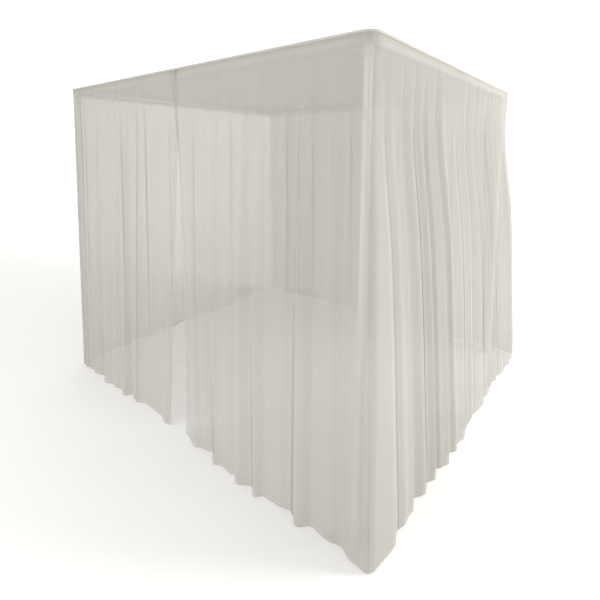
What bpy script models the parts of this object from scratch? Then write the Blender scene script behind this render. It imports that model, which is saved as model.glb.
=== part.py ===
"""Mosquito net canopy hung on a plain four-post tube frame.

The net is a box of sheer cloth: a flat roof, two curtains that part in the middle of the near long
side, two that lap in the middle of the foot end, and one wall each on the far side and the head
end. A narrow binding closes the top seam. The posts and rails that carry it stand inside.

X runs from the head end to the foot end, Y from the near long side to the far one, Z is up. The
origin is on the floor, in the middle of the net's outline.
"""
import math
from collections import namedtuple

import bmesh
import bpy
import numpy as np
from mathutils import Matrix, Vector

# Net, in metres. Its corners are the sharp corners of the walls' middle surface at the top.
LENGTH = 2.28            # head to foot
WIDTH = 2.22             # near side to far side
HEIGHT = 2.00            # floor to the roof's upper face
CLOTH = 0.0016           # thickness of a sheet
HEM_CLEAR = 0.004        # hems hang this far above the floor
CORNER_RADIUS = 0.056    # plan radius where the walls turn round the frame
SEAM_GAP = 0.0004        # between sheets that are sewn edge to edge
LAP_STEP = 0.0024        # how far the inner sheet of a lap lies behind the outer one
ROOF_SAG = 0.012
ROOF_RINGS = [0.0, 0.03, 0.06, 0.20, 0.40, 0.65]   # rings of the roof, as shares of the way in
ROOF_SEAT = 0.06         # share of the way in where the roof leaves the rails and starts to sag
ROOF_BAYS = 6            # mesh bays along each straight edge of the roof
BINDING_HEIGHT = 0.009
BINDING_THICKNESS = 0.0015

# Frame, in metres
RAIL_RADIUS = 0.0125
RAIL_INSET = 0.030       # rail axis to the walls' middle surface
ELBOW_RADIUS = 0.0145
SOCKET_RADIUS = 0.018
SOCKET_DOME = 0.0125     # rise of the socket's rounded head above the rail axis
SOCKET_DROP = 0.075      # socket's lower end below the rail axis
POST_RADIUS = 0.016
LOWER_POST_RADIUS = 0.019
COLLAR_MIDDLE = 0.505    # height of the collar above the floor
COLLAR_LENGTH = 0.034
COLLAR_RADIUS = 0.026
FOOT_RADIUS = 0.022
FOOT_LENGTH = 0.012
COLLAR_ROUND = 0.008     # rounding of the collar's edges
FOOT_ROUND = 0.003
FIT_GAP = 0.0003         # between parts that butt together
ROUND_SIDES = 16
ELBOW_STEPS = 6
ROUND_STEPS = 3          # steps of a rounded edge
WELD = 0.00001           # points closer than this are one
SHARP_ANGLE = math.radians(40.0)

WALL_TOP = HEIGHT - CLOTH - FIT_GAP
RAIL_HEIGHT = WALL_TOP - ELBOW_RADIUS
ELBOW_BEND = CORNER_RADIUS - RAIL_INSET
POST_INSET = CORNER_RADIUS - ELBOW_BEND * math.cos(math.pi / 4.0)

# Net corners at the top, counterclockwise seen from above, and how far the hem stands out of them
CORNERS = {
    "head_near": (0.0, 0.0),
    "foot_near": (LENGTH, 0.0),
    "foot_far": (LENGTH, WIDTH),
    "head_far": (0.0, WIDTH),
}
HEM_SPREAD = {
    "head_near": (0.000, -0.002),
    "foot_near": (0.078, -0.070),
    "foot_far": (0.132, 0.035),
    "head_far": (-0.018, 0.045),
}
HEM_RADIUS = {           # plan radius of each corner at the hem
    "head_near": 0.056,
    "foot_near": 0.030,
    "foot_far": 0.056,
    "head_far": 0.056,
}
CORNER_ORDER = list(CORNERS)
WALL_ORDER = ["near", "foot", "far", "head"]     # each starts at the corner of the same place

# (share of the way down, share of the hem's spread)
SPREAD_CURVE = [(0.0, 0.0), (0.15, 0.0), (0.42, 0.48), (0.80, 0.86), (1.0, 1.0)]
# (share of the way down, share of a fold's full depth)
FOLD_CURVE = [(0.0, 0.0), (0.008, 0.0), (0.05, 0.26), (0.25, 0.55), (0.60, 0.80), (1.0, 1.0)]
# Heights of the mesh rows, as shares of the way down
ROW_SHARES = [0.0, 0.008, 0.05, 0.15, 0.28, 0.42, 0.60, 0.80, 1.0]

# One row for each valley between two folds. Top and hem are its places along the wall, from the
# top corner where the wall starts, or None for a corner of the net. Inset is how deep it lies, and
# rise how far the fold after it stands out of the line between its two valleys.
Fold = namedtuple("Fold", "top hem inset rise")

NEAR_HEAD_FOLDS = [      # outer curtain of the near side, from the head corner to its free edge
    Fold(top=0.000, hem=None, inset=0.000, rise=0.000),
    Fold(top=0.160, hem=0.105, inset=0.012, rise=0.016),
    Fold(top=0.280, hem=0.170, inset=0.014, rise=0.022),
    Fold(top=0.420, hem=0.301, inset=0.021, rise=0.032),
    Fold(top=0.575, hem=0.458, inset=0.010, rise=0.014),
    Fold(top=0.655, hem=0.545, inset=0.016, rise=0.038),
    Fold(top=0.760, hem=0.673, inset=0.032, rise=0.028),
    Fold(top=0.865, hem=0.801, inset=0.030, rise=0.004),
    Fold(top=1.030, hem=0.964, inset=0.026, rise=0.024),
    Fold(top=1.178, hem=1.090, inset=0.012, rise=0.000),
]
NEAR_FOOT_FOLDS = [      # inner curtain of the near side, from its free edge to the foot corner
    Fold(top=1.120, hem=1.225, inset=0.015, rise=0.000),
    Fold(top=1.195, hem=1.262, inset=0.012, rise=0.030),
    Fold(top=1.430, hem=1.443, inset=0.032, rise=0.041),
    Fold(top=1.550, hem=1.560, inset=0.008, rise=0.044),
    Fold(top=1.720, hem=1.749, inset=0.006, rise=0.038),
    Fold(top=1.830, hem=1.845, inset=0.010, rise=0.004),
    Fold(top=1.960, hem=1.985, inset=0.016, rise=0.043),
    Fold(top=2.050, hem=2.083, inset=0.016, rise=0.012),
    Fold(top=2.160, hem=2.208, inset=0.020, rise=0.014),
    Fold(top=LENGTH, hem=None, inset=0.000, rise=0.000),
]
FOOT_FOLDS = [           # foot end, from the near corner to the far one
    Fold(top=0.000, hem=None, inset=0.000, rise=0.016),
    Fold(top=0.110, hem=0.193, inset=0.020, rise=0.024),
    Fold(top=0.280, hem=0.378, inset=0.031, rise=0.032),
    Fold(top=0.405, hem=0.525, inset=0.028, rise=0.030),
    Fold(top=0.500, hem=0.631, inset=0.028, rise=0.042),
    Fold(top=0.668, hem=0.801, inset=0.036, rise=0.036),
    Fold(top=0.870, hem=0.950, inset=0.008, rise=0.020),
    Fold(top=1.040, hem=1.110, inset=0.012, rise=0.010),
    Fold(top=1.130, hem=1.195, inset=0.018, rise=0.032),
    Fold(top=1.355, hem=1.455, inset=0.032, rise=0.034),
    Fold(top=1.490, hem=1.610, inset=0.034, rise=0.034),
    Fold(top=1.612, hem=1.740, inset=0.030, rise=0.028),
    Fold(top=1.700, hem=1.840, inset=0.026, rise=0.032),
    Fold(top=1.880, hem=2.025, inset=0.024, rise=0.032),
    Fold(top=2.080, hem=2.165, inset=0.014, rise=0.010),
    Fold(top=WIDTH, hem=None, inset=0.000, rise=0.000),
]
FOOT_LAP = (7, 8)        # rows of FOOT_FOLDS between which its two curtains lap
FAR_FOLDS = [            # far side, from the foot corner to the head corner
    Fold(top=0.000, hem=None, inset=0.000, rise=0.010),
    Fold(top=0.160, hem=0.080, inset=0.014, rise=0.032),
    Fold(top=0.390, hem=0.330, inset=0.018, rise=0.034),
    Fold(top=0.590, hem=0.560, inset=0.014, rise=0.030),
    Fold(top=0.840, hem=0.820, inset=0.018, rise=0.036),
    Fold(top=1.060, hem=1.055, inset=0.014, rise=0.030),
    Fold(top=1.290, hem=1.290, inset=0.016, rise=0.034),
    Fold(top=1.500, hem=1.505, inset=0.014, rise=0.030),
    Fold(top=1.730, hem=1.740, inset=0.018, rise=0.036),
    Fold(top=1.900, hem=1.915, inset=0.014, rise=0.030),
    Fold(top=2.050, hem=2.070, inset=0.020, rise=0.016),
    Fold(top=LENGTH, hem=None, inset=0.000, rise=0.000),
]
HEAD_FOLDS = [           # head end, from the far corner to the near corner
    Fold(top=0.000, hem=None, inset=0.000, rise=0.004),
    Fold(top=0.160, hem=0.140, inset=0.012, rise=0.026),
    Fold(top=0.400, hem=0.390, inset=0.014, rise=0.024),
    Fold(top=0.640, hem=0.635, inset=0.016, rise=0.028),
    Fold(top=0.900, hem=0.900, inset=0.012, rise=0.024),
    Fold(top=1.120, hem=1.125, inset=0.014, rise=0.026),
    Fold(top=1.380, hem=1.385, inset=0.012, rise=0.024),
    Fold(top=1.620, hem=1.630, inset=0.014, rise=0.026),
    Fold(top=1.840, hem=1.850, inset=0.014, rise=0.022),
    Fold(top=2.040, hem=2.050, inset=0.012, rise=0.000),
    Fold(top=WIDTH, hem=None, inset=0.000, rise=0.000),
]
FOLD_PHASES = (0.0, 0.25, 0.5, 0.75)     # mesh columns across a fold
ARC_SHARES = (0.0, 0.25, 0.5, 0.75, 1.0) # closer columns where a wall turns, from the corner


def clear_scene():
    for old in list(bpy.data.objects):
        bpy.data.objects.remove(old, do_unlink=True)


def finish(name, colour, roughness, metallic=0.0):
    """A Principled material of one colour."""
    material = bpy.data.materials.new(name)
    material.use_nodes = True
    shader = material.node_tree.nodes["Principled BSDF"]
    shader.inputs["Base Color"].default_value = (*colour, 1.0)
    shader.inputs["Roughness"].default_value = roughness
    shader.inputs["Metallic"].default_value = metallic
    return material


def read_curve(table, share):
    """Straight-line reading of a table of (share, value) rows."""
    shares, values = zip(*table)
    return float(np.interp(share, shares, values))


# ---- the net's plan, at a share of the way down from top to hem

def corner_at(place, share):
    """Plan position of a net corner; places past the last start again at the first."""
    corner = CORNER_ORDER[place % len(CORNER_ORDER)]
    return np.array(CORNERS[corner]) + read_curve(SPREAD_CURVE, share) * np.array(HEM_SPREAD[corner])


def wall_line(place, share):
    """A wall's first corner, its length, its direction and its outward normal."""
    first = corner_at(place, share)
    run = corner_at(place + 1, share) - first
    length = float(np.hypot(*run))
    along = run / length
    return first, length, along, np.array([along[1], -along[0]])


def half_turn(place, share):
    """Half of the angle by which the net turns at the corner where a wall starts."""
    before = wall_line(place - 1, share)[3]
    after = wall_line(place, share)[3]
    return math.acos(float(np.clip(before @ after, -1.0, 1.0))) / 2.0


def turn_radius(place, share):
    """Plan radius of a corner of the net, from its top one to the one at the hem."""
    corner = CORNER_ORDER[place % len(CORNER_ORDER)]
    return CORNER_RADIUS + (HEM_RADIUS[corner] - CORNER_RADIUS) * share


def wall_point(place, distance, out, share):
    """Plan point and outward normal at a distance along a wall, round the arcs at its ends."""
    first, length, along, normal = wall_line(place, share)
    for corner_place, side, corner in ((place, -1.0, first), (place + 1, 1.0, first + along * length)):
        half = half_turn(corner_place, share)
        radius = turn_radius(corner_place, share)
        tangent = radius * math.tan(half)
        from_corner = length - distance if side > 0.0 else distance
        if from_corner < tangent:
            centre = corner - side * along * tangent - normal * radius
            seam = half - SEAM_GAP / 2.0 / radius
            angle = min(half * (1.0 - from_corner / tangent), seam)
            facing = normal * math.cos(angle) + side * along * math.sin(angle)
            return centre + facing * (radius + out), facing
    return first + along * distance + normal * out, normal


# ---- folds

def columns_of(folds, first_row, last_row):
    """Mesh columns from one valley to another, as (row of the fold table, phase across it)."""
    columns = []
    for row in range(first_row, last_row):
        phases = FOLD_PHASES
        turn = [CORNER_RADIUS * share / (folds[row + 1].top - folds[row].top) for share in ARC_SHARES]
        if folds[row].hem is None:
            phases = turn + [turn[-1] + (1.0 - turn[-1]) / 2.0]
        if folds[row + 1].hem is None:
            phases = [0.0, (1.0 - turn[-1]) / 2.0] + [1.0 - phase for phase in reversed(turn[1:])]
        columns += [(row, phase) for phase in phases]
    return columns + [(last_row, 0.0)]


def valley_distance(place, folds, row, share):
    """How far along the wall, at this height, a valley of the table lies."""
    first, length, along, _ = wall_line(place, share)
    fold = folds[row]
    if fold.hem is None:
        return 0.0 if row == 0 else length
    grown = float((corner_at(place, 0.0) - first) @ along)
    return fold.top + (fold.hem - fold.top) * share + grown


def column_point(place, folds, column, share, step):
    """Plan point and outward normal of one mesh column: valley to valley, with the fold's crest."""
    row, phase = column
    start = folds[row]
    stop = folds[min(row + 1, len(folds) - 1)]
    begin = valley_distance(place, folds, row, share)
    end = valley_distance(place, folds, min(row + 1, len(folds) - 1), share)
    ease = phase * phase * (3.0 - 2.0 * phase)
    level = (stop.inset - start.inset) * -ease - start.inset
    crest = start.rise * math.sin(math.pi * phase)
    out = (level + crest) * read_curve(FOLD_CURVE, share) + step
    return wall_point(place, begin + (end - begin) * phase, out, share)


def lap_steps(columns, lap_row, last_lap_row):
    """Steps that lay the start of a sheet behind another and let it come forward after the lap."""
    steps = []
    for row, phase in columns:
        past = row + phase - last_lap_row
        steps.append(-LAP_STEP * min(max(1.0 - past, 0.0), 1.0) if row >= lap_row else 0.0)
    return steps


# ---- sheets

def closed_sheet(name, middle, normals, material):
    """A grid of middle points thickened to a closed sheet, half the cloth to each side."""
    rows, columns = middle.shape[:2]
    half = normals * (CLOTH / 2.0)
    points = np.concatenate([(middle + half).reshape(-1, 3), (middle - half).reshape(-1, 3)])
    index = np.arange(rows * columns).reshape(rows, columns)
    back = index + rows * columns
    faces = []
    for r in range(rows - 1):
        for c in range(columns - 1):
            ring = (index[r, c], index[r + 1, c], index[r + 1, c + 1], index[r, c + 1])
            faces.append(ring)
            faces.append(tuple(k + rows * columns for k in reversed(ring)))
    rim = (
        [(r, 0) for r in range(rows - 1)]
        + [(rows - 1, c) for c in range(columns - 1)]
        + [(r, columns - 1) for r in range(rows - 1, 0, -1)]
        + [(0, c) for c in range(columns - 1, 0, -1)]
    )
    for here, there in zip(rim, rim[1:] + rim[:1]):
        faces.append((index[there], index[here], back[here], back[there]))
    return mesh_object(name, points, faces, material)


def mesh_object(name, points, faces, material):
    mesh = bpy.data.meshes.new(name)
    mesh.from_pydata([tuple(map(float, p)) for p in points], [], [tuple(map(int, f)) for f in faces])
    return show(name, mesh, material)


def show(name, mesh, material):
    """An object of this mesh in the scene, smooth but for its sharp edges."""
    mesh.materials.append(material)
    mesh.shade_smooth()
    mesh.set_sharp_from_angle(angle=SHARP_ANGLE)
    made = bpy.data.objects.new(name, mesh)
    bpy.context.scene.collection.objects.link(made)
    return made


def grid_normals(middle):
    """Unit normals of a grid from its neighbours, kept level along the top row."""
    down = np.gradient(middle, axis=0)
    across = np.gradient(middle, axis=1)
    normals = np.cross(down, across)
    normals[0, :, 2] = 0.0
    normals[-1, :, 2] = 0.0
    return normals / np.linalg.norm(normals, axis=2, keepdims=True)


def hung_sheet(name, place, folds, first_row, last_row, material, lap=None):
    """A curtain or wall of the net, from one row of its fold table to another."""
    columns = columns_of(folds, first_row, last_row)
    steps = lap_steps(columns, *lap) if lap else [0.0] * len(columns)
    middle = np.zeros((len(ROW_SHARES), len(columns), 3))
    facing = np.zeros_like(middle)
    for r, share in enumerate(ROW_SHARES):
        for c, column in enumerate(columns):
            plan, normal = column_point(place, folds, column, share, steps[c])
            middle[r, c] = (*plan, WALL_TOP - share * (WALL_TOP - HEM_CLEAR))
            facing[r, c] = (*normal, 0.0)
    normals = grid_normals(middle)
    for edge in (0, -1):
        if folds[(first_row, last_row)[edge]].hem is None:
            normals[:, edge] = facing[:, edge]
    return closed_sheet(name, middle, normals, material)


def top_loop(out):
    """Plan points round the top of the net, this far outside the walls' middle surface."""
    points = []
    for place in range(len(CORNERS)):
        length = wall_line(place, 0.0)[1]
        tangent = CORNER_RADIUS * math.tan(half_turn(place, 0.0))
        arc = [tangent * share for share in ARC_SHARES]
        bays = list(np.linspace(tangent, length - tangent, ROOF_BAYS + 1))[1:-1]
        stations = arc + bays + [length - distance for distance in reversed(arc[1:])]
        points += [wall_point(place, distance, out, 0.0)[0] for distance in stations]
    return np.array(points)


def roof_panel(name, material):
    """The flat roof: rings that shrink to the middle, level on the rails and then sagging."""
    loop = top_loop(CLOTH / 2.0)
    centre = np.array([LENGTH / 2.0, WIDTH / 2.0])
    count = len(loop)
    layers = []
    for level in (HEIGHT, HEIGHT - CLOTH):
        for inward in ROOF_RINGS + [1.0]:
            spread = min((1.0 - inward) / (1.0 - ROOF_SEAT), 1.0)
            z = level - ROOF_SAG * (1.0 - spread * spread)
            plan = centre + (loop - centre) * (1.0 - inward)
            plan = plan if inward < 1.0 else centre[None, :]
            layers.append(np.column_stack([plan, np.full(len(plan), z)]))
    points = np.concatenate(layers)
    under = count * len(ROOF_RINGS) + 1
    faces = []
    for c in range(count):
        n = (c + 1) % count
        for ring in range(len(ROOF_RINGS) - 1):
            outer, inner = ring * count, (ring + 1) * count
            faces.append((outer + c, outer + n, inner + n, inner + c))
            faces.append((under + inner + c, under + inner + n, under + outer + n, under + outer + c))
        last = (len(ROOF_RINGS) - 1) * count
        faces.append((last + c, last + n, under - 1))
        faces.append((under + last + n, under + last + c, 2 * under - 1))
        faces.append((n, c, under + c, under + n))
    return mesh_object(name, points, faces, material)


def binding(name, material):
    """A narrow tape round the top seam, outside the walls and level with the roof."""
    inner = top_loop(CLOTH / 2.0 + FIT_GAP)
    outer = top_loop(CLOTH / 2.0 + FIT_GAP + BINDING_THICKNESS)
    section = ((outer, HEIGHT - BINDING_HEIGHT), (outer, HEIGHT), (inner, HEIGHT), (inner, HEIGHT - BINDING_HEIGHT))
    points = np.concatenate([np.column_stack([plan, np.full(len(plan), z)]) for plan, z in section])
    count = len(inner)
    faces = []
    for k in range(len(section)):
        here, there = k * count, (k + 1) % len(section) * count
        faces += [(here + c, here + (c + 1) % count, there + (c + 1) % count, there + c) for c in range(count)]
    return mesh_object(name, points, faces, material)


# ---- frame

def turned(name, profile, material, location):
    """A solid turned round Z from (radius, height) points, bottom to top, on the axis at both ends."""
    work = bmesh.new()
    verts = [work.verts.new((radius, 0.0, height)) for radius, height in profile]
    edges = [work.edges.new(pair) for pair in zip(verts, verts[1:])]
    bmesh.ops.spin(
        work, geom=verts + edges, cent=(0.0, 0.0, 0.0), axis=(0.0, 0.0, 1.0),
        angle=2.0 * math.pi, steps=ROUND_SIDES, use_merge=True,
    )
    bmesh.ops.remove_doubles(work, verts=work.verts, dist=WELD)
    bmesh.ops.recalc_face_normals(work, faces=work.faces)
    mesh = bpy.data.meshes.new(name)
    work.to_mesh(mesh)
    work.free()
    made = show(name, mesh, material)
    made.location = location
    return made


def rounded_cylinder(radius, length, bottom_round, top_round):
    """Profile of an upright cylinder whose edges are rounded by quarter arcs."""
    profile = [(0.0, 0.0)]
    turns = [math.pi / 2.0 * step / ROUND_STEPS for step in range(ROUND_STEPS + 1)]
    if bottom_round:
        inner = radius - bottom_round
        profile += [(inner + bottom_round * math.sin(t), bottom_round * (1.0 - math.cos(t))) for t in turns]
    else:
        profile.append((radius, 0.0))
    if top_round:
        inner = radius - top_round
        base = length - top_round
        profile += [(inner + top_round * math.cos(t), base + top_round * math.sin(t)) for t in turns]
    else:
        profile.append((radius, length))
    return profile + [(0.0, length)]


def rail(name, start, direction, length, material):
    """A round rail laid level from a start point along X or Y."""
    made = turned(name, rounded_cylinder(RAIL_RADIUS, length, 0.0, 0.0), material, (*start, RAIL_HEIGHT))
    made.rotation_euler = direction
    return made


def corner_fitting(name, place, material):
    """A level elbow between two rails, joined to the socket that takes the post's upper end."""
    work = bmesh.new()
    ring = bmesh.ops.create_circle(work, cap_ends=False, radius=ELBOW_RADIUS, segments=ROUND_SIDES)
    stand = Matrix.Rotation(math.pi / 2.0, 4, "X")
    for vert in ring["verts"]:
        vert.co = stand @ vert.co + Vector((ELBOW_BEND, 0.0, 0.0))
    edges = list(work.edges)
    bmesh.ops.spin(
        work, geom=ring["verts"] + edges, cent=(0.0, 0.0, 0.0), axis=(0.0, 0.0, 1.0),
        angle=math.pi / 2.0, steps=ELBOW_STEPS,
    )
    bmesh.ops.holes_fill(work, edges=[edge for edge in work.edges if edge.is_boundary], sides=ROUND_SIDES)
    bmesh.ops.recalc_face_normals(work, faces=work.faces)
    mesh = bpy.data.meshes.new(name)
    work.to_mesh(mesh)
    work.free()
    fitting = show(name, mesh, material)
    fitting.location = (*arc_centre(place), RAIL_HEIGHT)
    fitting.rotation_euler = (0.0, 0.0, math.pi + place * math.pi / 2.0)

    dome = [math.pi / 2.0 * step / (2 * ROUND_STEPS) for step in range(2 * ROUND_STEPS)]
    profile = [(0.0, -SOCKET_DROP), (SOCKET_RADIUS, -SOCKET_DROP)]
    profile += [(SOCKET_RADIUS * math.cos(t), SOCKET_DOME * math.sin(t)) for t in dome]
    profile.append((0.0, SOCKET_DOME))
    socket = turned(name + "_socket", profile, material, (*post_plan(place), RAIL_HEIGHT))
    socket.hide_render = True
    socket.display_type = "WIRE"
    join = fitting.modifiers.new("socket", "BOOLEAN")
    join.operation = "UNION"
    join.solver = "EXACT"
    join.object = socket
    return fitting, socket


def arc_centre(place):
    """Plan centre of the arcs at a corner of the frame."""
    return tuple(
        CORNER_RADIUS if corner == 0.0 else corner - CORNER_RADIUS
        for corner in CORNERS[CORNER_ORDER[place]]
    )


def post_plan(place):
    """Plan position of a corner's post, under the middle of its elbow."""
    reach = ELBOW_BEND * math.cos(math.pi / 4.0)
    centre = arc_centre(place)
    corner = CORNERS[CORNER_ORDER[place]]
    return tuple(c + (reach if k > 0.0 else -reach) for c, k in zip(centre, corner))


def post(corner, place, steel, plastic):
    """A post: foot cap, lower tube, collar and upper tube, stacked up to the socket."""
    plan = post_plan(place)
    collar_base = COLLAR_MIDDLE - COLLAR_LENGTH / 2.0
    lower_base = FOOT_LENGTH + FIT_GAP
    upper_base = collar_base + COLLAR_LENGTH + FIT_GAP
    upper_top = RAIL_HEIGHT - SOCKET_DROP - FIT_GAP
    lower = rounded_cylinder(LOWER_POST_RADIUS, collar_base - FIT_GAP - lower_base, 0.0, 0.0)
    upper = rounded_cylinder(POST_RADIUS, upper_top - upper_base, 0.0, 0.0)
    foot = rounded_cylinder(FOOT_RADIUS, FOOT_LENGTH, 0.0, FOOT_ROUND)
    collar = rounded_cylinder(COLLAR_RADIUS, COLLAR_LENGTH, COLLAR_ROUND, COLLAR_ROUND)
    return [
        turned("foot_cap_" + corner, foot, plastic, (*plan, 0.0)),
        turned("lower_post_" + corner, lower, steel, (*plan, lower_base)),
        turned("collar_" + corner, collar, plastic, (*plan, collar_base)),
        turned("upper_post_" + corner, upper, steel, (*plan, upper_base)),
    ]


def frame(steel, plastic):
    """Four posts, four rails and the fittings that join them."""
    parts = []
    for place, corner in enumerate(CORNER_ORDER):
        parts += post(corner, place, steel, plastic)
        parts += corner_fitting("corner_fitting_" + corner, place, plastic)
    rail_start = CORNER_RADIUS + FIT_GAP
    long_rail = LENGTH - 2.0 * rail_start
    end_rail = WIDTH - 2.0 * rail_start
    along_x = (0.0, math.pi / 2.0, 0.0)
    along_y = (-math.pi / 2.0, 0.0, 0.0)
    parts.append(rail("rail_near", (rail_start, RAIL_INSET), along_x, long_rail, steel))
    parts.append(rail("rail_far", (rail_start, WIDTH - RAIL_INSET), along_x, long_rail, steel))
    parts.append(rail("rail_head", (RAIL_INSET, rail_start), along_y, end_rail, steel))
    parts.append(rail("rail_foot", (LENGTH - RAIL_INSET, rail_start), along_y, end_rail, steel))
    return parts


def net(cloth, tape):
    """The roof, the curtains and walls hung under its edge, and the tape round the seam."""
    near, foot, far, head = range(len(WALL_ORDER))
    lap_start, lap_end = FOOT_LAP
    return [
        roof_panel("net_roof", cloth),
        binding("net_binding", tape),
        hung_sheet("net_near_head", near, NEAR_HEAD_FOLDS, 0, len(NEAR_HEAD_FOLDS) - 1, cloth),
        hung_sheet("net_near_foot", near, NEAR_FOOT_FOLDS, 0, len(NEAR_FOOT_FOLDS) - 1, cloth, (0, 1)),
        hung_sheet("net_foot_near", foot, FOOT_FOLDS, 0, lap_end, cloth),
        hung_sheet("net_foot_far", foot, FOOT_FOLDS, lap_start, len(FOOT_FOLDS) - 1, cloth, FOOT_LAP),
        hung_sheet("net_far", far, FAR_FOLDS, 0, len(FAR_FOLDS) - 1, cloth),
        hung_sheet("net_head", head, HEAD_FOLDS, 0, len(HEAD_FOLDS) - 1, cloth),
    ]


def centre_on_origin(parts):
    """Parents everything to an empty that puts the middle of the outline at the origin."""
    bpy.context.view_layer.update()
    corners = [part.matrix_world @ Vector(corner) for part in parts for corner in part.bound_box]
    root = bpy.data.objects.new("canopy", None)
    bpy.context.scene.collection.objects.link(root)
    for axis in (0, 1):
        values = [corner[axis] for corner in corners]
        root.location[axis] = -(min(values) + max(values)) / 2.0
    for part in parts:
        part.parent = root
    return root


def main():
    clear_scene()
    cloth = finish("sheer net", (0.80, 0.79, 0.75), 0.85)
    tape = finish("bound edge", (0.70, 0.69, 0.65), 0.80)
    steel = finish("cream painted steel", (0.82, 0.79, 0.70), 0.40)
    plastic = finish("white moulded plastic", (0.86, 0.85, 0.80), 0.45)
    centre_on_origin(net(cloth, tape) + frame(steel, plastic))
    bpy.context.view_layer.update()


main()
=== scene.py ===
# Mosquito net canopy on a four-post tube frame: cloth, finishes, light and camera
import math
import bpy
import numpy as np
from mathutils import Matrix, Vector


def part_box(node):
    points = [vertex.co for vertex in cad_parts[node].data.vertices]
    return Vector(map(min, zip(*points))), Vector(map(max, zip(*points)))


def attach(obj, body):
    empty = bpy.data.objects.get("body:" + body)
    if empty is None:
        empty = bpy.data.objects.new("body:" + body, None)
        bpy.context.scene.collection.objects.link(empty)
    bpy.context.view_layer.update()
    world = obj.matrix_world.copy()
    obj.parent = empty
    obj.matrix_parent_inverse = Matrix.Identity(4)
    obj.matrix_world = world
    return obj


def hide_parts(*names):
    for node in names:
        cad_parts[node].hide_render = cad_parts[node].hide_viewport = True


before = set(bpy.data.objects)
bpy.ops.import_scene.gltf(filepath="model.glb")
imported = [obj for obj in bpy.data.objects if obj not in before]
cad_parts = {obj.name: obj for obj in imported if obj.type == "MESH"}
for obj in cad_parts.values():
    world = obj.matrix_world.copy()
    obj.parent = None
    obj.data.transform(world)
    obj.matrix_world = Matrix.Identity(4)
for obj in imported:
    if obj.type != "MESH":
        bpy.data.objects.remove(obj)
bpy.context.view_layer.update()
print("frame loaded:", len(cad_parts), "nodes")


def linearColour(code):
    # sRGB hex to the linear values that shaders take
    channels = [int(code[k:k + 2], 16) / 255.0 for k in (0, 2, 4)]
    linear = [c / 12.92 if c <= 0.04045 else ((c + 0.055) / 1.055) ** 2.4 for c in channels]
    return (*linear, 1.0)


def addNode(tree, kind, settings=None, links=None, values=None):
    # one node: its properties, what feeds its inputs, and the plain values of the rest
    node = tree.nodes.new(kind)
    for key, value in (settings or {}).items():
        setattr(node, key, value)
    for key, value in (values or {}).items():
        node.inputs[key].default_value = value
    for key, source in (links or {}).items():
        tree.links.new(source, node.inputs[key])
    return node


def startMaterial(name):
    # a new material with an empty node tree
    material = bpy.data.materials.new(name)
    material.use_nodes = True
    material.node_tree.nodes.clear()
    return material, material.node_tree


def meshPiece(name, points, faces, material):
    # points as an (n, 3) array and faces as an (m, 4) array of their numbers, written in one go
    mesh = bpy.data.meshes.new(name)
    corners = faces.shape[1]
    mesh.vertices.add(len(points))
    mesh.vertices.foreach_set("co", points.astype(np.float32).ravel())
    mesh.loops.add(faces.size)
    mesh.loops.foreach_set("vertex_index", faces.astype(np.int32).ravel())
    mesh.polygons.add(len(faces))
    mesh.polygons.foreach_set("loop_start", np.arange(0, faces.size, corners, dtype=np.int32))
    mesh.update(calc_edges=True)
    mesh.validate()
    mesh.shade_smooth()
    mesh.materials.append(material)
    piece = bpy.data.objects.new(name, mesh)
    bpy.context.scene.collection.objects.link(piece)
    return piece


def writeUV(piece, uv):
    # one place on the flat cloth for each vertex, handed to every corner of a face that uses it
    loops = np.empty(len(piece.data.loops), np.int32)
    piece.data.loops.foreach_get("vertex_index", loops)
    layer = piece.data.uv_layers.new(name="cloth")
    layer.data.foreach_set("uv", uv[loops].astype(np.float32).ravel())


def writeLayers(piece, layers):
    # how many layers of cloth lie at each vertex, for the net's material
    attribute = piece.data.attributes.new("clothLayers", "FLOAT", "POINT")
    attribute.data.foreach_set("value", layers.ravel())


def gridFaces(rows, columns, closedAcross=False):
    # quads of a grid of points, facing outwards when rows go down and columns to the right
    index = np.arange(rows * columns).reshape(rows, columns)
    right = np.roll(index, -1, axis=1)
    last = columns if closedAcross else columns - 1
    quads = np.stack([index[:-1], index[1:], right[1:], right[:-1]], axis=-1)
    return quads[:, :last].reshape(-1, 4)


def fanFaces(ring, hub, turned=False):
    # quads from a closed ring to a point in its middle, each over two steps of it, or turned over
    after = np.roll(ring, -2)[0::2]
    quads = np.stack([ring[0::2], ring[1::2], after, np.full(len(after), hub)], axis=-1)
    return quads[:, [0, 3, 2, 1]] if turned else quads


def closedTube(rings, ends):
    # rings of points along a tube as one skin, closed by a fan round the middle of each end
    count, sides = rings.shape[:2]
    ring, hub = np.arange(sides), count * sides
    skin = gridFaces(count, sides, True)[:, ::-1]
    caps = [fanFaces(ring, hub, True), fanFaces(ring + hub - sides, hub + 1)]
    return np.concatenate([rings.reshape(-1, 3), ends]), np.concatenate([skin] + caps)


def smoothStep(x):
    # from 0 to 1 by three times the square less twice the cube, level at both ends
    x = np.clip(x, 0.0, 1.0)
    return x * x * (3.0 - 2.0 * x)


def smoothRead(table, x):
    # a curve through (x, y) rows: cubic pieces whose slopes are those of each point's neighbours
    known = np.array(table, float)
    slope = np.gradient(known[:, 1], known[:, 0])
    slope[0] = slope[-1] = 0.0
    cell = np.clip(np.searchsorted(known[:, 0], x, side="right") - 1, 0, len(known) - 2)
    width = known[cell + 1, 0] - known[cell, 0]
    t = np.clip((x - known[cell, 0]) / width, 0.0, 1.0)
    start, stop = known[cell, 1], known[cell + 1, 1]
    ease = t * t * (3.0 - 2.0 * t)
    lead = t * (1.0 - t) * (1.0 - t) * width * slope[cell]
    trail = t * t * (t - 1.0) * width * slope[cell + 1]
    return start + (stop - start) * ease + lead + trail


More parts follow.
